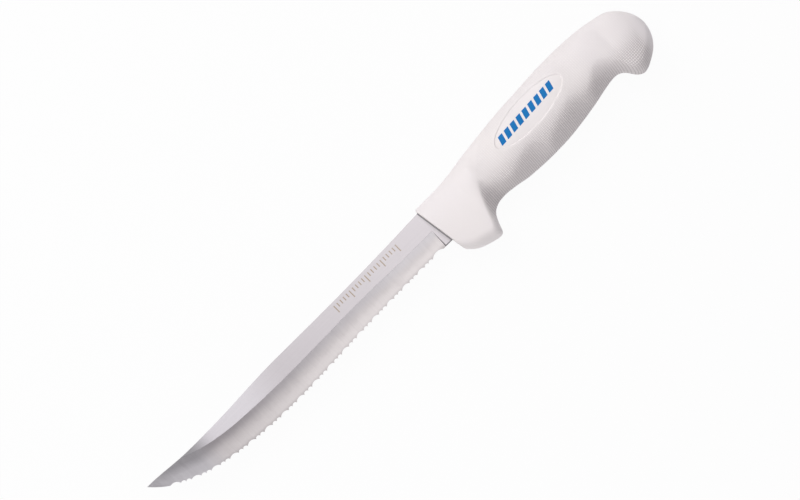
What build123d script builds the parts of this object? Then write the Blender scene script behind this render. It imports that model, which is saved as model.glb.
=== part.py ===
from build123d import *
import math
import os

# A narrow knife with a scalloped edge and a moulded handle, lying on its side.
# X runs from the tip to the butt, Y from the edge to the spine and Z is the thickness.
# While a piece is made, x = 0 is where the spine enters the handle, y = 0 is the
# straight line of the back and z = 0 is the middle of the thickness.
# All lengths are millimetres. A share is a part of the size named beside it.

# Blade
blade_length = 177.8
blade_height = 19.8
stock_thickness = 1.7
polish_depth = 0.05
polish_gap = 0.7
edge_thickness = 0.36

# Spine, edge and grind line: share of blade length from the tip, share of blade height
spine_shares = ((0, 0.028), (0.055, 0.006), (0.107, -0.035), (0.16, -0.05), (0.21, -0.049),
                (0.277, -0.036), (0.342, -0.01), (0.38, 0.008), (0.42, 0.023), (0.52, 0.026),
                (0.7, 0.023), (0.886, 0.052), (1, 0.088))
edge_shares = ((0, 0.028), (0.026, -0.205), (0.075, -0.492), (0.125, -0.695), (0.2, -0.872),
               (0.29, -0.983), (0.43, -1.046), (0.65, -0.98), (0.88, -0.935), (1.016, -0.93))
grind_shares = ((0, 0.33), (0.065, 0.118), (0.1, 0.0), (0.13, -0.098), (0.17, -0.213),
                (0.21, -0.292), (0.26, -0.363), (0.33, -0.404), (0.45, -0.436), (0.65, -0.42),
                (0.88, -0.42), (1, -0.443))

# Hollow grind, made by a large wheel, which stops short of the handle
wheel_radius = 125
grind_stop = 1.1
grind_stop_angle = 40
grind_station_shares = (0, 0.04, 0.08, 0.12, 0.17, 0.23, 0.31, 0.42, 0.6, 0.8, 1)
heel_chamfer = 0.5

# Scalloped edge: one wide scallop and two narrow ones in turn, with the widest at the heel,
# all ground from the -Z side
wide_scallop = 5.06
wide_scallop_depth = 1.15
narrow_scallop = 2.53
narrow_scallop_depth = 0.95
narrow_scallops = 2
heel_scallop = 7.2
heel_scallop_depth = 1.4
plain_edge_at_tip = 10.9
plain_edge_at_heel = 2
facet_angle = 25

# Hidden tang, with holes that the handle's core fills
tang_length = 92
tang_height = 13.5
tang_end_height = 9.5
tang_end_drop = 1.6
tang_step = 1.6
blade_seat_depth = 5
shoulder_radius = 1.5
tang_hole_diameter = 5
tang_hole_shares = (0.3, 0.57, 0.84)

# Handle, with a slanted front
handle_length = 136.4
grip_height = 33
grip_thickness = 23
butt_length = 17.7
butt_radius = 17.1
butt_centre_drop = 9
front_angle = 8.1
skin_thickness = 1.8

# Side outline: share of handle length from the front, share of grip height
top_shares = ((-0.03, 0.106), (0.09, 0.107), (0.158, 0.127), (0.226, 0.17), (0.33, 0.221),
              (0.43, 0.263), (0.53, 0.286), (0.635, 0.309), (0.7, 0.311), (0.79, 0.294),
              (0.84, 0.271), (0.8702, 0.2455))
bottom_shares = ((-0.03, -0.7), (0.028, -0.77), (0.037, -0.822), (0.048, -0.862),
                 (0.062, -0.9), (0.09, -0.95), (0.124, -0.99), (0.147, -1.003),
                 (0.1575, -0.99), (0.166, -0.915), (0.1745, -0.825), (0.1847, -0.744),
                 (0.2, -0.686), (0.226, -0.645), (0.254, -0.636), (0.3, -0.656),
                 (0.36, -0.698), (0.46, -0.72), (0.53, -0.714), (0.6, -0.686), (0.7, -0.621),
                 (0.77, -0.561), (0.8, -0.551), (0.82, -0.57), (0.838, -0.634),
                 (0.857, -0.745), (0.865, -0.782), (0.8702, -0.791))
# Half thickness, as a share of half the grip thickness
side_shares = ((-0.03, 0.7), (0, 0.73), (0.07, 0.86), (0.125, 0.96), (0.158, 1), (0.185, 0.98),
               (0.222, 0.91), (0.3, 0.9), (0.4, 0.95), (0.5, 1), (0.6, 0.985), (0.7, 0.94),
               (0.78, 0.92), (0.83, 0.96), (0.8702, 1.02))
# Height of the shoulder, where the flank turns in, as a share of the section's height
shoulder_shares = ((-0.03, 0.32), (0.03, 0.2), (0.09, 0.17), (0.147, 0.17), (0.161, 0.22),
                   (0.1745, 0.29), (0.191, 0.38), (0.2084, 0.5), (0.222, 0.56), (0.239, 0.47),
                   (0.2593, 0.33), (0.2865, 0.25), (0.31, 0.24), (0.344, 0.3), (0.388, 0.38),
                   (0.429, 0.41), (0.456, 0.36), (0.48, 0.27), (0.507, 0.28), (0.558, 0.35),
                   (0.599, 0.39), (0.636, 0.415), (0.66, 0.38), (0.69, 0.3), (0.72, 0.33),
                   (0.782, 0.43), (0.809, 0.38), (0.8365, 0.27), (0.863, 0.16), (0.8702, 0.17))
# Fullness of the belly below the shoulder, which the finger hollows lower
belly_shares = ((-0.03, 0.5), (0.147, 0.5), (0.17, 0.4), (0.222, 0.3), (0.31, 0.5),
                (0.36, 0.38), (0.429, 0.32), (0.48, 0.55), (0.53, 0.42), (0.636, 0.32),
                (0.69, 0.5), (0.73, 0.4), (0.782, 0.32), (0.84, 0.5), (0.8702, 0.55))
keel_share = 0.42
back_rise_share = 0.62
back_width_share = 0.6
station_shares = (-0.03, 0.008, 0.032, 0.056, 0.09, 0.12, 0.147, 0.1575, 0.166, 0.1745, 0.1847,
                  0.195, 0.2084, 0.222, 0.239, 0.2593, 0.2865, 0.31, 0.344, 0.388, 0.429, 0.456,
                  0.48, 0.507, 0.548, 0.6, 0.636, 0.66, 0.69, 0.728, 0.782, 0.809, 0.83, 0.843,
                  0.857, 0.8702)
butt_angles = (25, 45, 60, 72, 81, 87)
butt_back_power = 1.15
butt_shoulder_share = 0.42

# Sunk oval panel on each side of the grip
panel_length = 44
panel_height = 14
panel_depth = 0.45
panel_centre_x = 68.6
panel_centre_y = -1.2
panel_angle = 3.5

# How far a cut runs past what it cuts
overrun = 3


def smooth_at(table, share):
    """Value at a share of the length, on a smooth curve that never overshoots its points."""
    places = [row[0] for row in table]
    values = [row[1] for row in table]
    share = min(max(share, places[0]), places[-1])
    slopes = [(values[i + 1] - values[i]) / (places[i + 1] - places[i])
              for i in range(len(table) - 1)]
    leans = [slopes[0]]
    for before, after in zip(slopes, slopes[1:]):
        turning = before * after <= 0
        leans.append(0 if turning else 2 * before * after / (before + after))
    leans.append(slopes[-1])
    i = max(k for k in range(len(table) - 1) if places[k] <= share)
    step = places[i + 1] - places[i]
    t = (share - places[i]) / step
    return (values[i] * (1 + 2 * t) * (1 - t) ** 2 + values[i + 1] * t * t * (3 - 2 * t)
            + step * (leans[i] * t * (1 - t) ** 2 - leans[i + 1] * t * t * (1 - t)))


def blade_point(row):
    """Point of the blade's outline from its row of shares."""
    return (blade_length * (row[0] - 1), blade_height * row[1])


def front_block(setback, low, high):
    """Block that fills the space ahead of the handle's slanted front, less a setback."""
    reach = blade_length + handle_length
    root = blade_point(spine_shares[-1])
    block = Box(reach, reach, high - low, align=(Align.MAX, Align.CENTER, Align.MIN))
    return Pos(root[0], root[1], low) * Rot(0, 0, front_angle) * Pos(-setback, 0, 0) * block


def tang_outline():
    """Corners of the tang, from the spine's root round to the heel, inside the handle."""
    root_x, root_y = blade_point(spine_shares[-1])
    heel_x, heel_y = blade_point(edge_shares[-1])
    seat_x = heel_x + blade_seat_depth
    top = root_y - tang_step
    end_top = top - tang_end_drop
    return [(root_x, root_y), (seat_x, root_y), (seat_x, top), (tang_length, end_top),
            (tang_length, end_top - tang_end_height), (seat_x, top - tang_height),
            (seat_x, heel_y), (heel_x, heel_y)]


def edge_curve():
    """Cutting edge before it is scalloped, from the tip to the heel."""
    return Edge.make_spline([Vector(*blade_point(row)) for row in edge_shares])


def blade_blank():
    """Flat blank of blade and tang, before it is ground."""
    spine = Edge.make_spline([Vector(*blade_point(row)) for row in spine_shares])
    tang = [Vector(*point) for point in tang_outline()]
    sides = [Edge.make_line(a, b) for a, b in zip(tang, tang[1:])]
    face = make_face(Wire([spine, *sides, edge_curve()]).edges())
    blank = extrude(face, stock_thickness / 2, both=True)
    uprights = blank.edges().filter_by(Axis.Z)
    corners = [uprights.sort_by_distance(point)[0] for point in (tang[2], tang[5])]
    return fillet(corners, shoulder_radius)


def hollow_section(share):
    """Outline of the grinding wheel's cut across the blade at one place, on the +Z side."""
    x = blade_length * (share - 1)
    face = stock_thickness / 2 - polish_depth
    line = Vector(x, blade_height * smooth_at(grind_shares, share), face)
    edge = Vector(x, blade_height * smooth_at(edge_shares, share), edge_thickness / 2)
    chord = line - edge
    rise = math.sqrt(wheel_radius ** 2 - chord.length ** 2 / 4)
    out = Vector(0, -chord.Z, chord.Y).normalized()
    centre = (line + edge) / 2 + out * rise
    turn = math.degrees(overrun / wheel_radius)
    high = centre + (line - centre).rotate(Axis.X, turn)
    low = centre + (edge - centre).rotate(Axis.X, -turn)
    middle = centre - out * wheel_radius
    lid = face + overrun
    arc = Edge.make_three_point_arc(high, middle, low)
    corners = [low, Vector(x, low.Y, lid), Vector(x, high.Y, lid), high]
    return Wire([arc] + [Edge.make_line(a, b) for a, b in zip(corners, corners[1:])])


def hollow_cut():
    """What the wheel takes from the +Z side, ending in a steep wall short of the handle."""
    sections = [hollow_section(share) for share in grind_station_shares]
    ahead = Vector(-overrun, 0, 0)
    behind = Vector(overrun, 0, 0)
    cut = Solid.make_loft([sections[0].translate(ahead)] + sections
                          + [sections[-1].translate(behind)])
    stop = Plane(origin=(-grind_stop, 0, stock_thickness / 2 - polish_depth),
                 x_dir=(0, 1, 0),
                 z_dir=(math.cos(math.radians(grind_stop_angle)), 0,
                        -math.sin(math.radians(grind_stop_angle))))
    return split(cut, bisect_by=stop, keep=Keep.BOTTOM)


def scallops(edge):
    """Start, end and depth of each scallop, in length along the edge curve from the tip."""
    wide = (wide_scallop, wide_scallop_depth)
    narrow = (narrow_scallop, narrow_scallop_depth)
    pattern = [wide] + [narrow] * narrow_scallops
    last = edge.length - blade_point(edge_shares[-1])[0] - plain_edge_at_heel - heel_scallop
    repeats = int((last - plain_edge_at_tip) / sum(width for width, depth in pattern))
    start = plain_edge_at_tip
    rows = []
    for width, depth in pattern * repeats + [(heel_scallop, heel_scallop_depth)]:
        rows.append((start, start + width, depth))
        start += width
    return rows


def scallop_cut():
    """What sharpening takes from the -Z side: a slanted prism with the scallops on its side."""
    edge = edge_curve()
    rows = scallops(edge)
    sides = [edge.trim(0, rows[0][0] / edge.length)]
    for start, end, depth in rows:
        middle = (start + end) / 2 / edge.length
        along = edge % middle
        inward = Vector(-along.Y, along.X, 0)
        sides.append(Edge.make_three_point_arc(edge @ (start / edge.length),
                                               edge @ middle + inward * depth,
                                               edge @ (end / edge.length)))
    tip = edge @ 0
    stop = sides[-1] @ 1
    low = -blade_height - overrun
    corners = [stop, Vector(stop.X, low), Vector(tip.X - overrun, low),
               Vector(tip.X - overrun, tip.Y), tip]
    outline = sides + [Edge.make_line(a, b) for a, b in zip(corners, corners[1:])]
    lean = 1 / math.tan(math.radians(facet_angle))
    start = edge_thickness / 2 + overrun
    height = stock_thickness / 2 + overrun + start
    high_face = Pos(0, -overrun * lean, start) * make_face(outline)
    way = Vector(0, height * lean, -height)
    return extrude(high_face, way.length, dir=way)


def heel_cut():
    """Chamfer along the lower corner of the heel, on the +Z side."""
    heel_x, heel_y = blade_point(edge_shares[-1])
    length = heel_x + blade_seat_depth + grind_stop
    side = heel_chamfer * math.sqrt(2)
    bar = Box(length, side, side, align=(Align.MIN, Align.CENTER, Align.CENTER))
    return Pos(-grind_stop, heel_y, stock_thickness / 2 - polish_depth) * Rot(45, 0, 0) * bar


def tang_hole(share):
    """Hole through the tang at a share of its length, midway between its edges."""
    root_y = blade_point(spine_shares[-1])[1]
    middle = root_y - tang_step - tang_height / 2
    end = root_y - tang_step - tang_end_drop - tang_end_height / 2
    return Pos(tang_length * share, middle + (end - middle) * share, 0) * Cylinder(
        tang_hole_diameter / 2, stock_thickness + overrun)


def make_blade():
    """Blade and tang in one piece, hollow-ground on both sides and scalloped from one."""
    blade = blade_blank()
    face = stock_thickness / 2 - polish_depth
    for tool in (front_block(polish_gap, face, face + overrun), hollow_cut(), heel_cut()):
        blade = blade - tool - mirror(tool, Plane.XY)
    blade -= scallop_cut()
    for share in tang_hole_shares:
        blade -= tang_hole(share)
    return blade


def handle_section(x, top, bottom, side, shoulder, belly):
    """Closed outline of the handle across X, from four curves with level ends."""
    widest = bottom + (top - bottom) * shoulder
    curves = []
    for sign in (1, -1):
        curves.append([(x, top, 0),
                       (x, top, sign * side * back_width_share),
                       (x, widest + (top - widest) * back_rise_share, sign * side),
                       (x, widest, sign * side)])
        curves.append([(x, widest, sign * side),
                       (x, widest - (widest - bottom) * belly, sign * side),
                       (x, bottom, sign * side * keel_share),
                       (x, bottom, 0)])
    upper, lower, upper_back, lower_back = curves
    order = [upper, lower, lower_back[::-1], upper_back[::-1]]
    return Wire([Edge.make_bezier(*[Vector(*point) for point in curve]) for curve in order])


def handle_form(inset):
    """Solid of the handle, taken in by an inset all round except at its front."""
    sections = []
    centre_x = handle_length - butt_length
    last = station_shares[-1]
    half = grip_thickness / 2
    for share in station_shares:
        sections.append(handle_section(
            centre_x * share / last,
            grip_height * smooth_at(top_shares, share) - inset,
            grip_height * smooth_at(bottom_shares, share) + inset,
            half * smooth_at(side_shares, share) - inset,
            smooth_at(shoulder_shares, share),
            smooth_at(belly_shares, share)))
    side = half * side_shares[-1][1] - inset
    radius = butt_radius - inset
    shoulder = shoulder_shares[-1][1]
    for angle in butt_angles:
        along = math.sin(math.radians(angle))
        across = math.cos(math.radians(angle))
        sections.append(handle_section(
            centre_x + (butt_length - inset) * along,
            -butt_centre_drop + radius * across ** butt_back_power,
            -butt_centre_drop - radius * across,
            side * across,
            shoulder + (butt_shoulder_share - shoulder) * along ** 2,
            belly_shares[-1][1]))
    return Solid.make_loft(sections)


def panel_cut():
    """Oval hollow in the +Z side of the grip, with a floor that follows the grip."""
    post = extrude(Ellipse(panel_length / 2, panel_height / 2), grip_thickness)
    post = Pos(panel_centre_x, panel_centre_y, 0) * Rot(0, 0, panel_angle) * post
    return post - handle_form(panel_depth)


def make_handle(blade):
    """Rigid core round the tang, and the soft grip moulded over the core."""
    front = front_block(0, -grip_thickness, grip_thickness)
    outer = handle_form(0) - front
    inner = handle_form(skin_thickness) - front
    panel = panel_cut()
    grip = outer - inner - blade - panel - mirror(panel, Plane.XY)
    return inner - blade, grip


def place(pieces):
    """Move all pieces so that the origin lies under the middle of the knife."""
    box = Compound(children=[Part() + piece for piece in pieces]).bounding_box()
    shift = Pos(-(box.min.X + box.max.X) / 2, -(box.min.Y + box.max.Y) / 2, -box.min.Z)
    return [shift * piece for piece in pieces]


def main():
    blade = make_blade()
    core, grip = make_handle(blade)
    os.makedirs("parts", exist_ok=True)
    names = ("blade", "handle_core", "soft_grip")
    for name, piece in zip(names, place([blade, core, grip])):
        export_step(piece, f"parts/{name}.step")


main()
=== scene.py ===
"""Looks of a scalloped fillet knife that lies on its side, seen straight from above.

The blade and the rigid core of the handle are the frame's own solids with their real finishes.
The soft grip is modelled here: a ring is extruded along the handle, fitted to the frame's grip
and given its rounded front rim, its sunk oval panels and its moulded grid.
"""

import logging
import math
from collections.abc import Callable, Iterator
from contextlib import contextmanager
from dataclasses import dataclass, field
from enum import Enum
from typing import Any, TypeAlias

import bmesh
import bpy
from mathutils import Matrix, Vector
from mathutils.bvhtree import BVHTree


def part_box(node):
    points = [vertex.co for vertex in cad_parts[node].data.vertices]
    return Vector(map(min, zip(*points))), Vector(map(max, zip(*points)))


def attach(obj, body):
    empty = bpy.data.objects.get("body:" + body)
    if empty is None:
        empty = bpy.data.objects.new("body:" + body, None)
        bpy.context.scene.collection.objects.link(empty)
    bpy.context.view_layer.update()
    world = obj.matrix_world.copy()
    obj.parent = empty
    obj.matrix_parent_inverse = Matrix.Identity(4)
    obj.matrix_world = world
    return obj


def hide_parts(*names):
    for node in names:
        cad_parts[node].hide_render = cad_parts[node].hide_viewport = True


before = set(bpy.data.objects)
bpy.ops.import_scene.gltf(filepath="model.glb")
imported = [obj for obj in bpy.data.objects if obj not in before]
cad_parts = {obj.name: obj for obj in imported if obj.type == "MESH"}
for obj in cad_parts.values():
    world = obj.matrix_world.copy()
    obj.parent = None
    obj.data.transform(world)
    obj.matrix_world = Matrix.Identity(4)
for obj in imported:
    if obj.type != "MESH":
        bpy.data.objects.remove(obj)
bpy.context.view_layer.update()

Socket: TypeAlias = bpy.types.NodeSocket

MM = 0.001
WELD = 0.002 * MM
BODY = "root"
GRID_SHARE = "grid_share"
LOG = logging.getLogger("knife")

# The photograph: its width and height, the real width of a pixel, the pixel where the
# straight line of the back meets the handle, and the slope of the knife across it
PHOTO_SIZE = (800, 500)
PIXEL = 0.462 * MM
ROOT_PIXEL = (420.2, 215.8)
KNIFE_SLOPE = math.radians(45)


@dataclass(frozen=True)
class KnifePlace:
    """Where the knife's own zero point lies in the frame.

    There x = 0 is where the spine enters the handle, y = 0 is the straight line of the
    back and z = 0 is the middle of the thickness.
    """

    blade_length: float = 177.8 * MM
    root_rise: float = 0.088 * 19.8 * MM

    def origin(self) -> Vector:
        """Give the zero point in the frame, worked out from the blade's box."""
        low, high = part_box("blade")
        return Vector((low.x + self.blade_length, high.y - self.root_rise, (low.z + high.z) / 2))


ORIGIN = KnifePlace().origin()
BACK_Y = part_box("blade")[1].y


def linear(hex_colour: str) -> tuple[float, float, float, float]:
    """Turn an sRGB colour into the linear one that shaders take.

    Args:
        hex_colour: six hex digits after a hash sign.

    Returns:
        Red, green, blue and an alpha of 1.
    """
    parts = [int(hex_colour[i:i + 2], 16) / 255 for i in (1, 3, 5)]
    red, green, blue = [p / 12.92 if p <= 0.04045 else ((p + 0.055) / 1.055) ** 2.4 for p in parts]
    return (red, green, blue, 1.0)


def smooth_step(value: float, start: float, end: float) -> float:
    """Rise smoothly from 0 at start to 1 at end.

    Args:
        value: where to read the curve.
        start: last value that gives 0.
        end: first value that gives 1.

    Returns:
        A share from 0 to 1.
    """
    t = min(max((value - start) / (end - start), 0.0), 1.0)
    return t * t * (3 - 2 * t)


# Modelling by hand


def pick(piece: bpy.types.Object) -> None:
    """Deselect everything, then select the piece and make it the active one.

    Args:
        piece: the object to pick.
    """
    bpy.ops.object.select_all(action="DESELECT")
    piece.select_set(True)
    bpy.context.view_layer.objects.active = piece


@contextmanager
def editing(piece: bpy.types.Object) -> Iterator[None]:
    """Hold the piece in edit mode while the block runs.

    Args:
        piece: the object to edit.
    """
    pick(piece)
    bpy.ops.object.mode_set(mode="EDIT")
    try:
        yield
    finally:
        bpy.ops.object.mode_set(mode="OBJECT")


class Element(Enum):
    """Kind of element that edit mode selects."""

    POINTS = "VERT"
    EDGES = "EDGE"
    FACES = "FACE"


def select(piece: bpy.types.Object, kind: Element, wanted: Callable[[Any], bool]) -> None:
    """Select elements of the piece in edit mode, and nothing else.

    Args:
        piece: the mesh in edit mode.
        kind: what to select.
        wanted: says of an element whether it is selected.
    """
    bpy.ops.mesh.select_mode(type=kind.value)
    bpy.ops.mesh.select_all(action="DESELECT")
    mesh = bmesh.from_edit_mesh(piece.data)
    elements = {Element.POINTS: mesh.verts, Element.EDGES: mesh.edges, Element.FACES: mesh.faces}
    for element in elements[kind]:
        element.select_set(wanted(element))
    mesh.select_flush_mode()
    bmesh.update_edit_mesh(piece.data)


def modify(piece: bpy.types.Object, kind: str, **settings: Any) -> None:
    """Add a modifier with its settings to the piece and apply it.

    Args:
        piece: the object to change.
        kind: the modifier's type, such as SUBSURF.
        settings: the modifier's own settings.
    """
    pick(piece)
    modifier = piece.modifiers.new(kind.lower(), kind)
    for name, value in settings.items():
        setattr(modifier, name, value)
    bpy.ops.object.modifier_apply(modifier=modifier.name)


def weigh(piece: bpy.types.Object, name: str, weight: Callable[[Vector], float]) -> str:
    """Give the piece a group of weights worked out from each point's place.

    Args:
        piece: the object to weigh.
        name: the group's name.
        weight: gives the weight of a place, from 0 to 1.

    Returns:
        The group's name.
    """
    group = piece.vertex_groups.new(name=name)
    for point in piece.data.vertices:
        group.add([point.index], weight(point.co), "REPLACE")
    return name


def merged_copy(node: str) -> bpy.types.Object:
    """Copy a node of the frame and merge the copy's loose triangles.

    Args:
        node: the node's name.

    Returns:
        A working copy, which is deleted after use.
    """
    copy = bpy.data.objects.new(node + "_form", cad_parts[node].data.copy())
    bpy.context.scene.collection.objects.link(copy)
    with editing(copy):
        bpy.ops.mesh.select_all(action="SELECT")
        bpy.ops.mesh.remove_doubles(threshold=WELD)
    return copy


def discard(piece: bpy.types.Object) -> None:
    """Delete a working object."""
    bpy.data.objects.remove(piece, do_unlink=True)


def settle(piece: bpy.types.Object) -> None:
    """Put the piece's place into its mesh, so that its object sits at the origin."""
    pick(piece)
    bpy.ops.object.transform_apply(location=True, rotation=True, scale=True)


def finish_piece(piece: bpy.types.Object, name: str, material: bpy.types.Material,
                 replaces: str | None = None) -> None:
    """Name and dress a piece and hang it on its body.

    Args:
        piece: the finished mesh.
        name: its name in the frame.
        material: its finish.
        replaces: the node that it stands for, if any.
    """
    settle(piece)
    piece.name = name
    piece.data.name = name
    piece.data.materials.clear()
    piece.data.materials.append(material)
    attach(piece, BODY)
    if replaces:
        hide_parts(replaces)
    LOG.info("%s: %d faces", name, len(piece.data.polygons))


# Finishes


class Graph:
    """A material's node tree, built a node at a time."""

    def __init__(self, name: str) -> None:
        """Start an empty material.

        Args:
            name: the material's name.
        """
        self.material = bpy.data.materials.new(name)
        self.material.use_nodes = True
        self.tree = self.material.node_tree
        self.tree.nodes.clear()

    def add(self, kind: str, values: dict[str | int, Any] | None = None,
            **settings: Any) -> Socket | None:
        """Add a node with its settings, values and links.

        Args:
            kind: the node's type after ShaderNode.
            values: number, colour or another node's output for each named or counted input.
            settings: the node's own settings.

        Returns:
            The first output in use, if the node has one. Its others are in .node.outputs.
        """
        made = self.tree.nodes.new("ShaderNode" + kind)
        for name, value in settings.items():
            setattr(made, name, value)
        for name, value in (values or {}).items():
            if isinstance(value, bpy.types.NodeSocket):
                self.tree.links.new(value, made.inputs[name])
            else:
                made.inputs[name].default_value = value
        return next((output for output in made.outputs if output.enabled), None)

    def knife_mm(self) -> Socket:
        """Give the place on the knife in millimetres from the knife's own zero point.

        Returns:
            The place's socket.
        """
        place = self.add("TexCoord").node.outputs["Object"]
        shift = tuple(-value / MM for value in ORIGIN)
        return self.add("Mapping", {"Vector": place, "Location": shift, "Scale": (1 / MM,) * 3})

    def close(self, surface: Socket) -> bpy.types.Material:
        """Link the surface to the output and give the finished material.

        Args:
            surface: the shader's output socket.

        Returns:
            The material.
        """
        self.add("OutputMaterial", {"Surface": surface})
        return self.material


@dataclass(frozen=True)
class GroundStainlessSteel:
    """High-carbon stainless strip: flats belt-ground lengthwise, bevel hollow-ground across.

    The flats are a pale satin, painted lighter towards the tip as a painted highlight. The bevel
    is painted darker just under the grind line as painted shade of the hollow, lighter towards
    the edge, and lighter towards the heel as a painted highlight. The scallops are painted darker
    at their points as painted shade, and the tip is painted grey as a painted reflection. The
    strip of unground stock in front of the handle is darker from its unpolished face and from
    painted shade where the handle meets the blade. Lengths are millimetres on the knife.
    """

    flat_colour: str = "#C9C4C6"
    # Painted highlight: the flats are painted lighter towards the tip
    flat_highlight_colour: str = "#DDD9DC"
    # Painted shade under the grind line, and a painted highlight that replaces it towards the heel
    grind_line_shade_colour: str = "#BEB8B9"
    heel_highlight_colour: str = "#EEEAEB"
    bevel_colour: str = "#E9E3E1"
    # Painted shade at the scallops' points
    scallop_shade_colour: str = "#AEA8A7"
    # Painted reflection: the tip is painted greyer
    tip_flat_reflection_colour: str = "#A19FA1"
    tip_line_reflection_colour: str = "#BDBABC"
    tip_bevel_reflection_colour: str = "#DAD7D9"
    facet_colour: str = "#F0ECEC"
    wall_colour: str = "#8F8B8E"
    # Unground strip in front of the handle, darker also as painted shade where the handle meets
    # the blade
    unground_strip_and_shade_colour: str = "#918E90"
    etch_colour: str = "#9C8A70"
    polished_half: float = 0.80
    bevel_depth: tuple[float, float] = (0.796, 0.788)
    proud_strip_depth: tuple[float, float] = (0.812, 0.83)
    edge_half: float = 0.3
    # Painted highlight on the flats: where it starts and where it is full
    flat_highlight_start: float = -92.0
    flat_highlight_end: float = -124.0
    # Painted reflection at the tip: where it starts, where it is full, and its fade across the
    # bevel
    tip_reflection_start: float = -138.0
    tip_reflection_end: float = -153.0
    tip_reflection_fade: tuple[float, float] = (0.56, 0.3)
    blade_length: float = 177.8
    edge_drop: float = 21.03
    edge_drop_shares: tuple[tuple[float, float], ...] = (
        (0, 0), (0.026, 0.195), (0.075, 0.463), (0.125, 0.659), (0.2, 0.833), (0.29, 0.938),
        (0.43, 1), (0.65, 0.947), (0.88, 0.899), (1, 0.891))
    # Painted shade at the scallops' points: where it starts and where it is full
    scallop_shade_fade: tuple[float, float] = (3.2, -0.8)
    wall_start: float = -4.0
    # Painted highlight on the bevel towards the heel: where it starts and where it is full
    heel_highlight_start: float = -130.0
    heel_highlight_end: float = -20.0
    flat_roughness: float = 0.34
    bevel_roughness: float = 0.3
    facet_roughness: float = 0.55
    belt_grain: float = 0.45
    wheel_grain: float = 0.5
    grain_run: float = 40.0
    grain_detail: float = 3.0
    grain_spread: tuple[float, float] = (0.3, 0.7)
    scale_centre: float = -37.75
    scale_length: float = 40.5
    scale_step: float = 2.0
    scale_fifth: int = 5
    scale_line: float = 0.5
    scale_top: float = -1.2
    scale_short: float = 2.2
    scale_long: float = 4.0
    etch_strength: float = 0.8
    facet_lean: tuple[float, float] = (0.97, 0.94)
    wall_lean: tuple[float, float] = (0.86, 0.82)
    line_contrast: tuple[float, float] = (0.975, 1.02)
    line_gloss: float = 0.02
    line_strength: float = 0.15
    scratch_depth: float = 0.002

    def build(self) -> bpy.types.Material:
        """Make the material.

        Returns:
            The finished steel.
        """
        g = Graph("ground_stainless_steel")
        place = g.knife_mm()
        parts = g.add("SeparateXYZ", {0: place}).node.outputs
        depth = g.add("Math", {0: parts["Z"]}, operation="ABSOLUTE")
        bevel = g.add("MapRange", {"Value": depth,
                                   "From Min": self.bevel_depth[0],
                                   "From Max": self.bevel_depth[1]})
        # Painted highlight that lightens the flats towards the tip
        front = g.add("MapRange", {"Value": parts["X"], "From Min": self.flat_highlight_start,
                                   "From Max": self.flat_highlight_end},
                      interpolation_type="SMOOTHSTEP")
        flat = linear(self.flat_colour)
        for share, tint in ((front, self.flat_highlight_colour),
                            (self.etched_scale(g, parts), self.etch_colour)):
            flat = g.add("Mix", {"Factor": share, "A": flat, "B": linear(tint)}, data_type="RGBA")
        # Painted shade on the bevel under the grind line and at the scallops' points
        ground = g.add("Mix", {"Factor": self.scallop_shade_share(g, parts),
                               "A": self.painted_bevel_shade(g, parts, depth),
                               "B": linear(self.scallop_shade_colour)}, data_type="RGBA")
        colour = g.add("Mix", {"Factor": bevel, "A": flat, "B": ground}, data_type="RGBA")
        normal = g.add("TexCoord").node.outputs["Normal"]
        upward = g.add("SeparateXYZ", {0: normal}).node.outputs["Z"]
        lean = g.add("Math", {0: upward}, operation="ABSOLUTE")
        facet = g.add("MapRange", {"Value": lean, "From Min": self.facet_lean[0],
                                   "From Max": self.facet_lean[1]})
        # Painted reflection that greys the tip
        colour = g.add("Mix", {"Factor": self.tip_reflection_share(g, parts), "A": colour,
                               "B": self.tip_reflection_tint(g, bevel, depth)}, data_type="RGBA")
        # The unground strip is painted darker, partly as painted shade where the handle meets the
        # blade
        for share, tint in ((facet, self.facet_colour),
                            (self.wall_share(g, parts, lean), self.wall_colour),
                            (self.strip_and_shade_share(g, depth), self.unground_strip_and_shade_colour)):
            colour = g.add("Mix", {"Factor": share, "A": colour, "B": linear(tint)},
                           data_type="RGBA")
        lines = self.grind_lines(g, place, bevel)
        grain = g.add("MapRange", {"Value": lines, "To Min": self.line_contrast[0],
                                   "To Max": self.line_contrast[1]})
        colour = g.add("Mix", {"Factor": 1.0, "A": colour, "B": grain}, data_type="RGBA",
                       blend_type="MULTIPLY")
        rough = g.add("Mix", {"Factor": bevel, "A": self.flat_roughness,
                              "B": self.bevel_roughness})
        rough = g.add("Mix", {"Factor": facet, "A": rough, "B": self.facet_roughness})
        change = g.add("MapRange", {"Value": lines, "To Min": -self.line_gloss,
                                    "To Max": self.line_gloss})
        rough = g.add("Math", {0: rough, 1: change}, operation="ADD")
        bump = g.add("Bump", {"Strength": self.line_strength,
                              "Distance": self.scratch_depth * MM, "Height": lines})
        steel = g.add("BsdfPrincipled", {"Base Color": colour, "Metallic": 1.0,
                                         "Roughness": rough, "Normal": bump})
        return g.close(steel)

    def painted_bevel_shade(self, g: Graph, parts: Any, depth: Socket) -> Socket:
        """Paint shade on the hollow bevel under the grind line, less and less towards the heel,
        where a painted highlight lightens it.

        Args:
            g: the graph to add to.
            parts: the place's X, Y and Z outputs.
            depth: the distance from the blade's middle plane.

        Returns:
            The bevel's colour socket.
        """
        # Painted highlight towards the heel over the painted shade under the grind line
        along = g.add("MapRange", {"Value": parts["X"], "From Min": self.heel_highlight_start,
                                   "From Max": self.heel_highlight_end})
        line = g.add("Mix", {"Factor": along, "A": linear(self.grind_line_shade_colour),
                             "B": linear(self.heel_highlight_colour)}, data_type="RGBA")
        fade = g.add("MapRange", {"Value": depth, "From Min": self.polished_half,
                                  "From Max": self.edge_half},
                     interpolation_type="SMOOTHERSTEP")
        return g.add("Mix", {"Factor": fade, "A": line, "B": linear(self.bevel_colour)},
                     data_type="RGBA")

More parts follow.
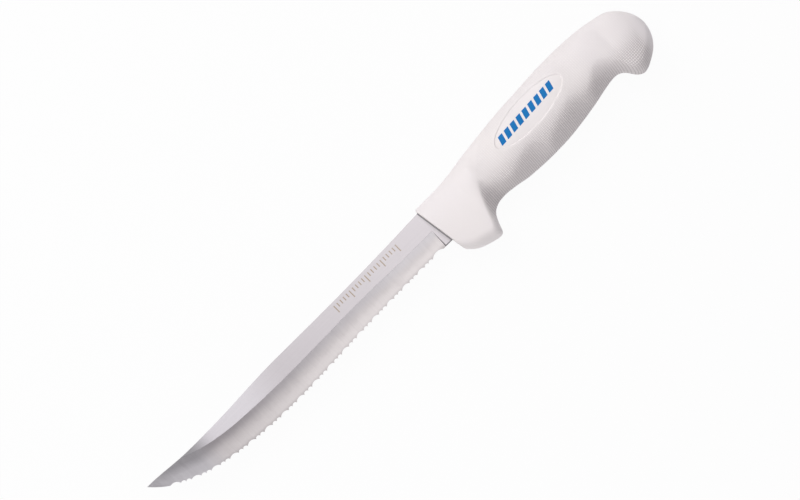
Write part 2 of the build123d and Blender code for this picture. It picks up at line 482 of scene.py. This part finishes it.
    def tip_reflection_share(self, g: Graph, parts: Any) -> Socket:
        """Give the socket that rises to 1 at the tip, where a darker reflection is painted."""
        return g.add("MapRange", {"Value": parts["X"], "From Min": self.tip_reflection_start,
                                  "From Max": self.tip_reflection_end},
                     interpolation_type="SMOOTHSTEP")

    def tip_reflection_tint(self, g: Graph, bevel: Socket, depth: Socket) -> Socket:
        """Paint the tip's darker reflection, darkest on the flat and lightest towards the edge.

        Args:
            g: the graph to add to.
            bevel: 1 on the bevel and 0 on the flats.
            depth: the distance from the blade's middle plane.

        Returns:
            The tip's colour socket.
        """
        fade = g.add("MapRange", {"Value": depth, "From Min": self.tip_reflection_fade[0],
                                  "From Max": self.tip_reflection_fade[1]})
        ground = g.add("Mix", {"Factor": fade, "A": linear(self.tip_line_reflection_colour),
                               "B": linear(self.tip_bevel_reflection_colour)}, data_type="RGBA")
        return g.add("Mix", {"Factor": bevel, "A": linear(self.tip_flat_reflection_colour), "B": ground},
                     data_type="RGBA")

    def scallop_shade_share(self, g: Graph, parts: Any) -> Socket:
        """Give the socket of painted shade, which rises towards the line through the scallops'
        points.

        Args:
            g: the graph to add to.
            parts: the place's X, Y and Z outputs.

        Returns:
            The share's socket.
        """
        along = g.add("MapRange", {"Value": parts["X"], "From Min": -self.blade_length,
                                   "From Max": 0.0})
        line = g.add("FloatCurve", {"Value": along})
        points = line.node.mapping.curves[0].points
        points[0].location = self.edge_drop_shares[0]
        points[1].location = self.edge_drop_shares[-1]
        for share, drop in self.edge_drop_shares[1:-1]:
            points.new(share, drop)
        line.node.mapping.update()
        height = g.add("Math", {0: line, 1: self.edge_drop, 2: parts["Y"]},
                       operation="MULTIPLY_ADD")
        return g.add("MapRange", {"Value": height, "From Min": self.scallop_shade_fade[0],
                                  "From Max": self.scallop_shade_fade[1]},
                     interpolation_type="SMOOTHERSTEP")

    def wall_share(self, g: Graph, parts: Any, lean: Socket) -> Socket:
        """Give the socket that is 1 on the steep walls at the heel.

        Args:
            g: the graph to add to.
            parts: the place's X, Y and Z outputs.
            lean: how far the surface faces up or down, from 0 to 1.

        Returns:
            The share's socket.
        """
        steep = g.add("MapRange", {"Value": lean, "From Min": self.wall_lean[0],
                                   "From Max": self.wall_lean[1]})
        heel = g.add("Math", {0: parts["X"], 1: self.wall_start}, operation="GREATER_THAN")
        return g.add("Math", {0: steep, 1: heel}, operation="MULTIPLY")

    def strip_and_shade_share(self, g: Graph, depth: Socket) -> Socket:
        """Give the socket that is 1 on the strip of unground stock in front of the handle.

        The strip stands proud of the rest. It is darker from its unpolished face and from painted
        shade where the handle meets the blade.
        """
        return g.add("MapRange", {"Value": depth, "From Min": self.proud_strip_depth[0],
                                  "From Max": self.proud_strip_depth[1]})

    def grind_lines(self, g: Graph, place: Socket, bevel: Socket) -> Socket:
        """Draw the belt's lines along the flats and the wheel's lines across the bevel.

        The real lines are a few hundredths of a millimetre apart. They are drawn coarser, so
        that they show.

        Args:
            g: the graph to add to.
            place: the place on the knife.
            bevel: 1 on the bevel and 0 on the flats.

        Returns:
            The lines' height socket.
        """
        belt_size = (1 / (self.belt_grain * self.grain_run), 1 / self.belt_grain, 1)
        wheel_size = (1 / self.wheel_grain, 1 / (self.wheel_grain * self.grain_run), 1)
        heights = []
        for size in (belt_size, wheel_size):
            stretched = g.add("Mapping", {"Vector": place, "Scale": size})
            heights.append(g.add("TexNoise", {"Vector": stretched, "Scale": 1.0,
                                              "Detail": self.grain_detail}))
        drawn = g.add("Mix", {"Factor": bevel, "A": heights[0], "B": heights[1]})
        return g.add("MapRange", {"Value": drawn, "From Min": self.grain_spread[0],
                                  "From Max": self.grain_spread[1]})

    def etched_scale(self, g: Graph, parts: Any) -> Socket:
        """Draw a plain etched centimetre scale on the flat that faces up.

        Its ticks are 2 mm apart, and each fifth one is longer.

        Args:
            g: the graph to add to.
            parts: the place's X, Y and Z outputs.

        Returns:
            The socket that is the etching's strength on a tick and 0 elsewhere.
        """
        start = self.scale_centre - self.scale_length / 2
        run = g.add("Math", {0: parts["X"], 1: start}, operation="SUBTRACT")
        shares = [
            g.add("Math", {0: parts["X"], 1: self.scale_centre, 2: self.scale_length / 2},
                  operation="COMPARE"),
            g.add("Math", {0: parts["Z"], 1: 0.0}, operation="GREATER_THAN")]
        steps = []
        for step, wide in ((self.scale_step, self.scale_line),
                           (self.scale_step * self.scale_fifth, self.scale_step)):
            rest = g.add("Math", {0: run, 1: step}, operation="MODULO")
            steps.append(g.add("Math", {0: rest, 1: wide}, operation="LESS_THAN"))
        half = g.add("Math", {0: steps[1], 1: (self.scale_long - self.scale_short) / 2,
                              2: self.scale_short / 2}, operation="MULTIPLY_ADD")
        drop = g.add("Math", {0: self.scale_top, 1: parts["Y"]}, operation="SUBTRACT")
        shares.append(g.add("Math", {0: drop, 1: half, 2: half}, operation="COMPARE"))
        mark = g.add("Math", {0: steps[0], 1: self.etch_strength}, operation="MULTIPLY")
        for share in shares:
            mark = g.add("Math", {0: mark, 1: share}, operation="MULTIPLY")
        return mark


@dataclass(frozen=True)
class EvenFinish:
    """Finish of one colour, whose gloss wanders a little as real plastic and ink do."""

    name: str
    colour: str
    ior: float
    gloss: float
    roughness: float
    roughness_change: float
    cloud_scale: float
    cloud_detail: float = 3.0

    def build(self) -> bpy.types.Material:
        """Make the material.

        Returns:
            The finished material.
        """
        g = Graph(self.name)
        cloud = g.add("TexNoise", {"Vector": g.knife_mm(), "Scale": self.cloud_scale,
                                   "Detail": self.cloud_detail})
        rough = g.add("MapRange", {"Value": cloud,
                                   "To Min": self.roughness - self.roughness_change,
                                   "To Max": self.roughness + self.roughness_change})
        surface = g.add("BsdfPrincipled", {"Base Color": linear(self.colour), "IOR": self.ior,
                                           "Roughness": rough, "Specular IOR Level": self.gloss})
        return g.close(surface)


# White polypropylene, injection moulded, gives a dense, slightly waxy white
MOULDED_POLYPROPYLENE = EvenFinish("moulded_polypropylene", "#E9E5E2", ior=1.49, gloss=0.5,
                                   roughness=0.42, roughness_change=0.05, cloud_scale=0.6)

# Blue two-part pad-printing ink gives a thin, even and slightly glossy film
PAD_INK = EvenFinish("pad_ink", "#0073B8", ior=1.5, gloss=0.2, roughness=0.55,
                     roughness_change=0.06, cloud_scale=1.2)


@dataclass(frozen=True)
class MouldedElastomer:
    """White styrenic elastomer, overmoulded: soft sheen, and a fine grid from the mould.

    The grid's squares are 1 mm, and its grooves are darkened with painted shade. It fades out on
    the guard and in the oval panels. The mould's two halves leave a faint raised parting line
    round the handle's middle.
    """

    colour: str = "#EEE8E9"
    tint_colour: str = "#F0EAE6"
    # Painted shade in the grid's grooves
    groove_shade_colour: str = "#C6BFBE"
    groove_shade_fade: tuple[float, float] = (0.2, -0.9)
    ior: float = 1.5
    roughness: float = 0.55
    cloud_scale: float = 0.035
    cloud_detail: float = 2.0
    grid: float = 1.0
    grid_depth: float = 0.05
    girth_radius: float = 15.0
    axis_drop: float = 10.0
    parting_half: float = 0.14
    parting_rise: float = 0.6

    def build(self) -> bpy.types.Material:
        """Make the material.

        Returns:
            The finished elastomer.
        """
        g = Graph("moulded_elastomer")
        place = g.knife_mm()
        parts = g.add("SeparateXYZ", {0: place}).node.outputs
        rise = g.add("Math", {0: parts["Y"], 1: self.axis_drop}, operation="ADD")
        side = g.add("Math", {0: parts["Z"]}, operation="ABSOLUTE")
        angle = g.add("Math", {0: side, 1: rise}, operation="ARCTAN2")
        girth = g.add("Math", {0: angle, 1: self.girth_radius}, operation="MULTIPLY")
        waves = []
        for length in (parts["X"], girth):
            turn = g.add("Math", {0: length, 1: math.tau / self.grid}, operation="MULTIPLY")
            waves.append(g.add("Math", {0: turn}, operation="COSINE"))
        deep = g.add("Math", {0: waves[0], 1: waves[1]}, operation="MINIMUM")
        share = g.add("Attribute", attribute_name=GRID_SHARE).node.outputs["Fac"]
        height = g.add("Math", {0: deep, 1: share}, operation="MULTIPLY")
        parting = g.add("MapRange", {"Value": side, "From Min": self.parting_half,
                                     "From Max": self.parting_half / 2, "To Min": 0.0,
                                     "To Max": self.parting_rise})
        relief = g.add("Math", {0: height, 1: parting}, operation="ADD")
        bump = g.add("Bump", {"Strength": 1.0, "Distance": self.grid_depth * MM, "Height": relief})
        cloud = g.add("TexNoise", {"Vector": place, "Scale": self.cloud_scale,
                                   "Detail": self.cloud_detail})
        colour = g.add("Mix", {"Factor": cloud, "A": linear(self.colour),
                               "B": linear(self.tint_colour)}, data_type="RGBA")
        # Painted shade darkens the grid's grooves
        low = g.add("MapRange", {"Value": height, "From Min": self.groove_shade_fade[0],
                                 "From Max": self.groove_shade_fade[1]})
        low = g.add("Math", {0: low, 1: share}, operation="MULTIPLY")
        colour = g.add("Mix", {"Factor": low, "A": colour, "B": linear(self.groove_shade_colour)},
                       data_type="RGBA")
        rubber = g.add("BsdfPrincipled", {"Base Color": colour, "Roughness": self.roughness,
                                          "IOR": self.ior, "Normal": bump})
        return g.close(rubber)


# Sub-assemblies


@dataclass(frozen=True)
class OvalPanel:
    """Smooth oval, sunk into each flank of the grip."""

    length: float = 44 * MM
    height: float = 14 * MM
    depth: float = 0.55 * MM
    rim: float = 0.55 * MM
    centre_x: float = 68.6 * MM
    centre_y: float = -1.2 * MM
    turn: float = math.radians(3.5)
    middle_share: float = 1e-6

    def local(self, place: Vector) -> tuple[float, float]:
        """Turn a place into the oval's own directions.

        Args:
            place: a place in the frame.

        Returns:
            Its distances along and across the oval from its centre.
        """
        x = place.x - ORIGIN.x - self.centre_x
        y = place.y - ORIGIN.y - self.centre_y
        cos, sin = math.cos(self.turn), math.sin(self.turn)
        return x * cos + y * sin, y * cos - x * sin

    def beyond(self, place: Vector) -> float:
        """Give roughly how far a place lies outside the oval's rim.

        Args:
            place: a place in the frame.

        Returns:
            The distance, which is less than 0 inside the oval.
        """
        u, v = self.local(place)
        a, b = self.length / 2, self.height / 2
        size = math.hypot(u / a, v / b)
        if size < self.middle_share:
            return -b
        slope = math.hypot(u / a ** 2, v / b ** 2) / size
        return (size - 1) / slope

    def sunk(self, place: Vector) -> float:
        """Give the share of the full depth at a place: 1 on the floor, 0 outside."""
        return 1 - smooth_step(self.beyond(place), -self.rim / 2, self.rim / 2)


class Side(Enum):
    """Side of the handle, with its direction along Y."""

    BACK = 1
    BELLY = -1


@dataclass(frozen=True)
class Ring:
    """Size of the grip at one ring: its centre, its half height and its half width."""

    centre: Vector
    high: float
    wide: float


@dataclass
class SoftGrip:
    """Soft skin of the handle, with its guard, finger hollows, panels and moulded grid."""

    around: int = 24
    rings: int = 30
    levels: int = 3
    slices: int = 10
    ray_share: float = 2.0
    clearance: float = 1.12
    first_lead: float = 0.36 * MM
    front_lean: float = math.radians(8.1)
    front_run: float = 11 * MM
    leaning_rings: int = 5
    wall: float = 1.8 * MM
    flatness: float = 0.02 * MM
    rim_radius: float = 1.0 * MM
    turned_in: float = 5.4 * MM
    butt_length: float = 17.7 * MM
    butt_angles: tuple[int, ...] = (14, 28, 41, 53, 64, 73, 81)
    smoothing: int = 8
    smooth_factor: float = 0.5
    passes: int = 3
    seam: float = 0.18 * MM
    smooth_start: float = 1.0 * MM
    smooth_end: float = 4 * MM
    panel_band: tuple[float, float] = (1.0 * MM, 1.8 * MM)
    panel_smoothing: int = 60
    panel_factor: float = 0.8
    refined_share: float = 1.5
    refined_cuts: int = 2
    rim_steps: int = 4
    guard_reach: float = 20.5 * MM
    guard_sweep: float = 14 * MM
    guard_fall: float = 12 * MM
    grid_start: float = 2.5 * MM
    panel_margin: tuple[float, float] = (0.3 * MM, 1.2 * MM)
    # Fading of the grid along the back: painted light standing in for bright light washing it out
    back_light_fade_share: float = 0.75
    butt_back_light_fade_share: float = 0.82
    back_light_fade_from: float = -16 * MM
    back_light_fade_to: float = -4 * MM
    butt_from: float = 98 * MM
    butt_to: float = 112 * MM
    pole_from: float = 126 * MM
    pole_to: float = 133 * MM
    panel: OvalPanel = field(default_factory=OvalPanel)
    tree: BVHTree | None = field(default=None, init=False)
    low: Vector = field(default_factory=lambda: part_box("soft_grip")[0], init=False)
    high: Vector = field(default_factory=lambda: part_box("soft_grip")[1], init=False)

    def build(self) -> bpy.types.Object:
        """Model the grip.

        Returns:
            The grip's mesh object.
        """
        form, front = self.outer_form(), self.front_face()
        self.tree = BVHTree.FromObject(form, bpy.context.evaluated_depsgraph_get())
        skin = self.outer_skin()
        self.fit(skin, form, front)
        self.sink_panels(skin)
        self.turn_rim_in(skin)
        discard(form)
        discard(front)
        pick(skin)
        bpy.ops.object.shade_smooth()
        self.mark_grid(skin)
        return skin

    def dress(self, skin: bpy.types.Object) -> None:
        """Give the grip its finish and hang it in the place of the frame's grip."""
        finish_piece(skin, "grip_skin", MouldedElastomer().build(), "soft_grip")

    def outer_form(self) -> bpy.types.Object:
        """Copy the frame's grip and take away its front face and the inside that the core fills.

        Returns:
            A working copy of the grip's outside.
        """
        core = merged_copy("handle_core")
        inside = BVHTree.FromObject(core, bpy.context.evaluated_depsgraph_get())
        form = merged_copy("soft_grip")
        with editing(form):
            select(form, Element.FACES,
                   lambda f: self.is_inside(f.calc_center_median(), inside))
            bpy.ops.mesh.delete(type="FACE")
        discard(core)
        return form

    def front_face(self) -> bpy.types.Object:
        """Copy the frame's grip and keep only its slanted front face.

        Returns:
            A working copy of the front face.
        """
        front = merged_copy("soft_grip")
        with editing(front):
            select(front, Element.FACES,
                   lambda f: abs(self.front_distance(f.calc_center_median())) > self.flatness)
            bpy.ops.mesh.delete(type="FACE")
        return front

    def is_inside(self, place: Vector, core: BVHTree) -> bool:
        """Tell whether a place of the grip lies on the core or on the slanted front."""
        return (core.find_nearest(place)[3] < self.seam
                or abs(self.front_distance(place)) < self.seam)

    def slanted_x(self, x: float, y: float, lean: float) -> float:
        """Give the x at y of a ring that leans and crosses the back's line at x."""
        return x - (y - BACK_Y) * math.tan(lean)

    def front_distance(self, place: Vector) -> float:
        """Give how far behind the slanted front plane a place lies."""
        plane = self.slanted_x(ORIGIN.x, place.y, self.front_lean)
        return (place.x - plane) * math.cos(self.front_lean)

    def reach(self, x: float, side: Side) -> float:
        """Give the y where the grip's outside lies at a place along it.

        Args:
            x: place along the grip.
            side: which side's outside.

        Returns:
            The outermost y, or the grip's middle where there is none.
        """
        away = side.value * (self.high.y - self.low.y) * self.ray_share
        start = Vector((x, self.high.y + away, ORIGIN.z))
        hit = self.tree.ray_cast(start, Vector((0, -side.value, 0)))[0]
        return hit.y if hit else (self.low.y + self.high.y) / 2

    def ring(self, x: float, lean: float) -> Ring:
        """Measure the grip where a ring goes round it.

        Args:
            x: where the ring crosses the back's line.
            lean: the ring's lean.

        Returns:
            The ring's centre and sizes.
        """
        top = self.reach(x, Side.BACK)
        bottom = self.low.y
        for _ in range(self.passes + 1):
            bottom = self.reach(self.slanted_x(x, bottom, lean), Side.BELLY)
        widest = 0.0
        for i in range(1, self.slices):
            y = bottom + (top - bottom) * i / self.slices
            start = Vector((self.slanted_x(x, y, lean), y, self.high.z * self.ray_share))
            hit = self.tree.ray_cast(start, Vector((0, 0, -1)))[0]
            if hit:
                widest = max(widest, hit.z - ORIGIN.z)
        y = (top + bottom) / 2
        return Ring(Vector((self.slanted_x(x, y, lean), y, ORIGIN.z)), (top - bottom) / 2, widest)

    def stations(self) -> list[tuple[float, float]]:
        """List each ring's place on the back's line and its lean.

        The first rings lean with the front, the next ones less and less, and they lie closer
        and closer round the butt.

        Returns:
            The place and the lean of each ring.
        """
        start = ORIGIN.x + self.front_run
        end = self.high.x - self.butt_length
        places = [start + (end - start) * i / self.rings for i in range(self.rings + 1)]
        places += [end + self.butt_length * math.sin(math.radians(a)) for a in self.butt_angles]
        leans = [self.front_lean * max(0.0, 1 - i / self.leaning_rings)
                 for i in range(len(places))]
        return list(zip(places, leans))

    def outer_skin(self) -> bpy.types.Object:
        """Extrude a ring back along the handle, sized at each station, and close the butt.

        Returns:
            The skin, open at the front.
        """
        first = self.ring(ORIGIN.x + self.first_lead, self.front_lean)
        start = first.centre - Vector((self.first_lead, 0, 0))
        bpy.ops.object.select_all(action="DESELECT")
        bpy.ops.mesh.primitive_circle_add(vertices=self.around, radius=1,
                                          fill_type="NOTHING", location=(0, 0, 0),
                                          rotation=(0, math.pi / 2, 0))
        skin = bpy.context.active_object
        settle(skin)
        with editing(skin):
            bpy.ops.mesh.select_all(action="SELECT")
            bpy.ops.transform.resize(
                value=(1, first.high * self.clearance / math.cos(self.front_lean),
                       first.wide * self.clearance), center_override=(0, 0, 0))
            bpy.ops.transform.translate(value=start)
            self.turn_ring(self.front_lean, start)
            last, last_lean = first, self.front_lean
            for x, lean in self.stations():
                last = self.extrude_ring(x, lean, last, last_lean)
                last_lean = lean
            bpy.ops.mesh.edge_face_add()
            bpy.ops.mesh.select_all(action="SELECT")
            bpy.ops.mesh.normals_make_consistent(inside=False)
        modify(skin, "SUBSURF", levels=self.levels, render_levels=self.levels)
        return skin

    def turn_ring(self, angle: float, centre: Vector) -> None:
        """Turn the selected ring about its own upright axis, so that its belly side moves back.

        Args:
            angle: how far, where less than 0 turns it forward.
            centre: the ring's centre.
        """
        bpy.ops.transform.rotate(value=-angle, orient_axis="Z", center_override=centre)

    def extrude_ring(self, x: float, lean: float, last: Ring, last_lean: float) -> Ring:
        """Extrude the selected ring to x, fit it to the grip there and set its lean.

        Args:
            x: the new ring's place on the back's line.
            lean: the new ring's lean.
            last: the selected ring.
            last_lean: the selected ring's lean.

        Returns:
            The new ring.
        """
        new = self.ring(x, lean)
        bpy.ops.mesh.extrude_edges_move(
            TRANSFORM_OT_translate={"value": new.centre - last.centre})
        if last_lean:
            self.turn_ring(lean - last_lean, new.centre)
        bpy.ops.transform.resize(value=(1, new.high / last.high, new.wide / last.wide),
                                 center_override=new.centre)
        return new

    def fit(self, skin: bpy.types.Object, form: bpy.types.Object,
            front: bpy.types.Object) -> None:
        """Shrink the skin onto the frame's grip and smooth away the grip's own facets.

        Args:
            skin: the extruded skin.
            form: the grip's outside.
            front: the grip's front face, whose outer edge takes the skin's first ring.
        """
        first = weigh(skin, "first", lambda p: float(self.front_distance(p) < self.seam))
        rest = weigh(skin, "rest", lambda p: float(self.front_distance(p) >= self.seam))
        body = weigh(skin, "body", lambda p: smooth_step(
            self.front_distance(p), self.smooth_start, self.smooth_end))
        shrink = {"target": form, "vertex_group": rest, "wrap_method": "NEAREST_SURFACEPOINT"}
        ease = {"vertex_group": body, "factor": self.smooth_factor, "iterations": self.smoothing}
        modify(skin, "SHRINKWRAP", **(shrink | {"target": front, "vertex_group": first}))
        for _ in range(self.passes):
            modify(skin, "SHRINKWRAP", **shrink)
            modify(skin, "SMOOTH", **ease)
        modify(skin, "SHRINKWRAP", **shrink)
        flank = weigh(skin, "panel_floor", lambda p: float(self.panel.beyond(p) < 0))
        modify(skin, "DISPLACE", vertex_group=flank, strength=self.panel.depth, mid_level=0.0)
        rim = weigh(skin, "panel_rim",
                    lambda p: 1 - smooth_step(abs(self.panel.beyond(p)), *self.panel_band))
        modify(skin, "SMOOTH", vertex_group=rim, factor=self.panel_factor,
               iterations=self.panel_smoothing)
        modify(skin, "SMOOTH", **ease)

    def sink_panels(self, skin: bpy.types.Object) -> None:
        """Refine the mesh round the ovals and sink their floors.

        Args:
            skin: the fitted skin.
        """
        with editing(skin):
            select(skin, Element.FACES,
                   lambda f: abs(self.panel.beyond(f.calc_center_median()))
                   < self.panel.rim * self.refined_share)
            bpy.ops.mesh.subdivide(number_cuts=self.refined_cuts, smoothness=1.0)
        sunk = weigh(skin, "sunk", self.panel.sunk)
        modify(skin, "DISPLACE", vertex_group=sunk, strength=-self.panel.depth, mid_level=0.0)

    def turn_rim_in(self, skin: bpy.types.Object) -> None:
        """Turn the front rim inwards over the core, close it behind, and round the rim.

        Args:
            skin: the fitted skin, open at the front.
        """
        with editing(skin):
            bpy.ops.mesh.select_mode(type="EDGE")
            bpy.ops.mesh.select_all(action="DESELECT")
            bpy.ops.mesh.select_non_manifold(extend=False, use_wire=False, use_boundary=True,
                                             use_multi_face=False, use_non_contiguous=False,
                                             use_verts=False)
            bpy.ops.mesh.mark_seam()
            ring = [p.co.copy() for p in bmesh.from_edit_mesh(skin.data).verts if p.select]
            low = Vector([min(p[i] for p in ring) for i in range(3)])
            high = Vector([max(p[i] for p in ring) for i in range(3)])
            centre, size = (low + high) / 2, high - low
            high_fit, wide_fit = (1 - 2 * self.wall / size[i] for i in (1, 2))
            bpy.ops.mesh.extrude_edges_move(TRANSFORM_OT_translate={"value": (0, 0, 0)})
            bpy.ops.transform.resize(value=(high_fit, high_fit, wide_fit),
                                     center_override=centre)
            bpy.ops.mesh.extrude_edges_move(
                TRANSFORM_OT_translate={"value": (self.turned_in, 0, 0)})
            bpy.ops.mesh.edge_face_add()
            bpy.ops.mesh.select_all(action="SELECT")
            bpy.ops.mesh.normals_make_consistent(inside=False)
            select(skin, Element.EDGES, lambda e: e.seam)
            bpy.ops.mesh.mark_seam(clear=True)
            bpy.ops.mesh.bevel(offset=self.rim_radius, segments=self.rim_steps, affect="EDGES")

    def guard_line(self, place: Vector) -> float:
        """Give how far behind the guard's rear edge a place lies, in metres."""
        x, y = place.x - ORIGIN.x, place.y - ORIGIN.y
        return x - self.guard_reach - self.guard_sweep * math.exp(y / self.guard_fall)

    def mark_grid(self, skin: bpy.types.Object) -> None:
        """Store the share of the moulded grid at each point.

        There is none on the guard, in the panels and at the butt's very end. It is less along the
        back, where the grid and its painted groove shade fade as painted light, standing in for
        bright light washing them out.

        Args:
            skin: the finished skin.
        """
        layer = skin.data.attributes.new(GRID_SHARE, "FLOAT", "POINT")
        for point in skin.data.vertices:
            x, y = point.co.x - ORIGIN.x, point.co.y - ORIGIN.y
            butt = smooth_step(x, self.butt_from, self.butt_to)
            # Painted light: the grid and its painted groove shade fade along the back, where
            # bright light falls
            back_light_fade = self.back_light_fade_share + (self.butt_back_light_fade_share - self.back_light_fade_share) * butt
            back_light_fade *= smooth_step(y, self.back_light_fade_from, self.back_light_fade_to)
            back_light_fade = max(back_light_fade, smooth_step(x, self.pole_from, self.pole_to))
            share = (1 - back_light_fade) * smooth_step(self.guard_line(point.co), 0.0, self.grid_start)
            share *= smooth_step(self.panel.beyond(point.co), *self.panel_margin)
            layer.data[point.index].value = share


@dataclass
class PadPrint:
    """Generic row of slanted bars, pad-printed on the panel that faces up."""

    bars: int = 9
    length: float = 36.5 * MM
    height: float = 4.2 * MM
    fill_share: float = 0.68
    slant: float = math.radians(20)
    cuts: int = 5
    ink: float = 0.04 * MM
    centre_x: float = 66.5 * MM
    centre_y: float = -0.9 * MM
    turn: float = math.radians(3.5)
    start_height: float = 40 * MM

    def build(self, grip: bpy.types.Object) -> bpy.types.Object:
        """Lay the bars on the grip.

        Args:
            grip: the piece that carries the print.

        Returns:
            The print's mesh object.
        """
        pitch = self.length / self.bars
        bpy.ops.object.select_all(action="DESELECT")
        bpy.ops.mesh.primitive_plane_add(size=1, location=(0, 0, 0))
        row = bpy.context.active_object
        with editing(row):
            bpy.ops.mesh.select_all(action="SELECT")
            bpy.ops.transform.resize(value=(pitch * self.fill_share, self.height, 1),
                                     center_override=(0, 0, 0))
            select(row, Element.POINTS, lambda p: p.co.y > 0)
            bpy.ops.transform.translate(value=(self.height * math.tan(self.slant), 0, 0))
            bpy.ops.mesh.select_all(action="SELECT")
            bpy.ops.mesh.subdivide(number_cuts=self.cuts)
            bpy.ops.transform.translate(value=((pitch - self.length) / 2, 0, 0))
        modify(row, "ARRAY", count=self.bars, use_relative_offset=False,
               use_constant_offset=True, constant_offset_displace=(pitch, 0, 0))
        row.rotation_euler = (0, 0, self.turn)
        row.location = ORIGIN + Vector((self.centre_x, self.centre_y, self.start_height))
        settle(row)
        modify(row, "SHRINKWRAP", target=grip, wrap_method="PROJECT", use_project_z=True,
               use_negative_direction=True, use_positive_direction=False, offset=self.ink)
        modify(row, "SOLIDIFY", thickness=self.ink, offset=-1)
        return row

    def dress(self, row: bpy.types.Object) -> None:
        """Give the bars their ink and hang them on the knife."""
        finish_piece(row, "panel_print", PAD_INK.build())


@dataclass
class SolidPiece:
    """Piece whose solid in the frame is right as it is and only needs its finish."""

    node: str
    finish: GroundStainlessSteel | EvenFinish

    def dress(self) -> None:
        """Give the frame's node its finish."""
        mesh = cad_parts[self.node].data
        mesh.materials.clear()
        mesh.materials.append(self.finish.build())
        LOG.info("%s: %d faces", self.node, len(mesh.polygons))


@dataclass
class Knife:
    """The whole knife: blade, core, soft grip and print."""

    blade: SolidPiece = field(
        default_factory=lambda: SolidPiece("blade", GroundStainlessSteel()))
    core: SolidPiece = field(
        default_factory=lambda: SolidPiece("handle_core", MOULDED_POLYPROPYLENE))
    grip: SoftGrip = field(default_factory=SoftGrip)
    bars: PadPrint = field(default_factory=PadPrint)

    def build(self) -> None:
        """Build and dress the pieces in order."""
        self.blade.dress()
        self.core.dress()
        skin = self.grip.build()
        self.grip.dress(skin)
        self.bars.dress(self.bars.build(skin))


@dataclass(frozen=True)
class Lamp:
    """Square lamp: its place and side in metres, and its power in watts."""

    name: str
    place: tuple[float, float, float]
    side: float
    power: float

    def build(self) -> None:
        """Hang the lamp, turned to the knife."""
        data = bpy.data.lights.new(self.name, "AREA")
        data.shape = "SQUARE"
        data.size = self.side
        data.energy = self.power
        lamp = bpy.data.objects.new(self.name, data)
        lamp.location = self.place
        lamp.rotation_euler = (Vector(self.place) - ORIGIN).to_track_quat("Z", "Y").to_euler()
        bpy.context.scene.collection.objects.link(lamp)


@dataclass
class Studio:
    """Pale floor, soft light mostly from the knife's back, and a camera straight above."""

    lens: float = 100.0
    sensor: float = 36.0
    floor_side: float = 6.0
    floor_colour: str = "#E4E4E4"
    glow_colour: str = "#FFFFFF"
    floor_seen: float = 0.95
    world_colour: str = "#F6F4FA"
    world_strength: float = 0.44
    lamps: tuple[Lamp, ...] = (
        Lamp("key", (-0.1, 0.8, 0.75), 0.7, 4.9),
        Lamp("above", (0.2, 0.37, 1.6), 1.1, 5.3),
        Lamp("fill", (-0.8, -0.5, 0.36), 0.6, 2.9),
        Lamp("rim", (0.5, 0.9, 0.15), 0.5, 1.0))

    def build(self) -> None:
        """Make the camera, the floor, the lamps and the world."""
        self.add_camera()
        self.add_floor()
        for lamp in self.lamps:
            lamp.build()
        self.add_world()
        bpy.context.scene.view_settings.view_transform = "Standard"

    def aim(self) -> Vector:
        """Find the point in the middle of the photograph, at the knife's mid height.

        Returns:
            The point in the frame.
        """
        right = (PHOTO_SIZE[0] / 2 - ROOT_PIXEL[0]) * PIXEL
        up = (ROOT_PIXEL[1] - PHOTO_SIZE[1] / 2) * PIXEL
        cos, sin = math.cos(KNIFE_SLOPE), math.sin(KNIFE_SLOPE)
        return ORIGIN + Vector((right * cos + up * sin, up * cos - right * sin, 0))

    def add_camera(self) -> None:
        """Look straight down, with the knife rising to the right."""
        data = bpy.data.cameras.new("camera")
        data.lens = self.lens
        data.sensor_width = self.sensor
        camera = bpy.data.objects.new("camera", data)
        away = PHOTO_SIZE[0] * PIXEL / self.sensor * self.lens
        camera.location = self.aim() + Vector((0, 0, away))
        camera.rotation_euler = (0, 0, -KNIFE_SLOPE)
        bpy.context.scene.collection.objects.link(camera)
        bpy.context.scene.camera = camera

    def add_floor(self) -> None:
        """Lay a white floor that keeps a faint shadow of the knife."""
        bpy.ops.object.select_all(action="DESELECT")
        bpy.ops.mesh.primitive_plane_add(size=self.floor_side, location=(0, 0, 0))
        floor = bpy.context.active_object
        floor.name = "floor"
        g = Graph("white_floor")
        path = g.add("LightPath").node.outputs
        seen = path["Is Camera Ray"]
        for ray in ("Is Glossy Ray", "Is Transmission Ray"):
            seen = g.add("Math", {0: seen, 1: path[ray]}, operation="MAXIMUM")
        seen = g.add("Math", {0: seen, 1: self.floor_seen}, operation="MULTIPLY")
        paint = g.add("BsdfDiffuse", {"Color": linear(self.floor_colour)})
        glow = g.add("Emission", {"Color": linear(self.glow_colour)})
        g.close(g.add("MixShader", {0: seen, 1: paint, 2: glow}))
        floor.data.materials.append(g.material)

    def add_world(self) -> None:
        """Fill the shadows with an even pale surround, which the camera sees as white."""
        world = bpy.data.worlds.new("surround")
        world.use_nodes = True
        background = world.node_tree.nodes["Background"]
        background.inputs["Color"].default_value = linear(self.world_colour)
        background.inputs["Strength"].default_value = self.world_strength
        bpy.context.scene.world = world


def main() -> None:
    """Build the studio and the knife's pieces in order."""
    logging.basicConfig(level=logging.INFO, format="%(name)s: %(message)s")
    Studio().build()
    Knife().build()


if __name__ == "__main__":
    main()
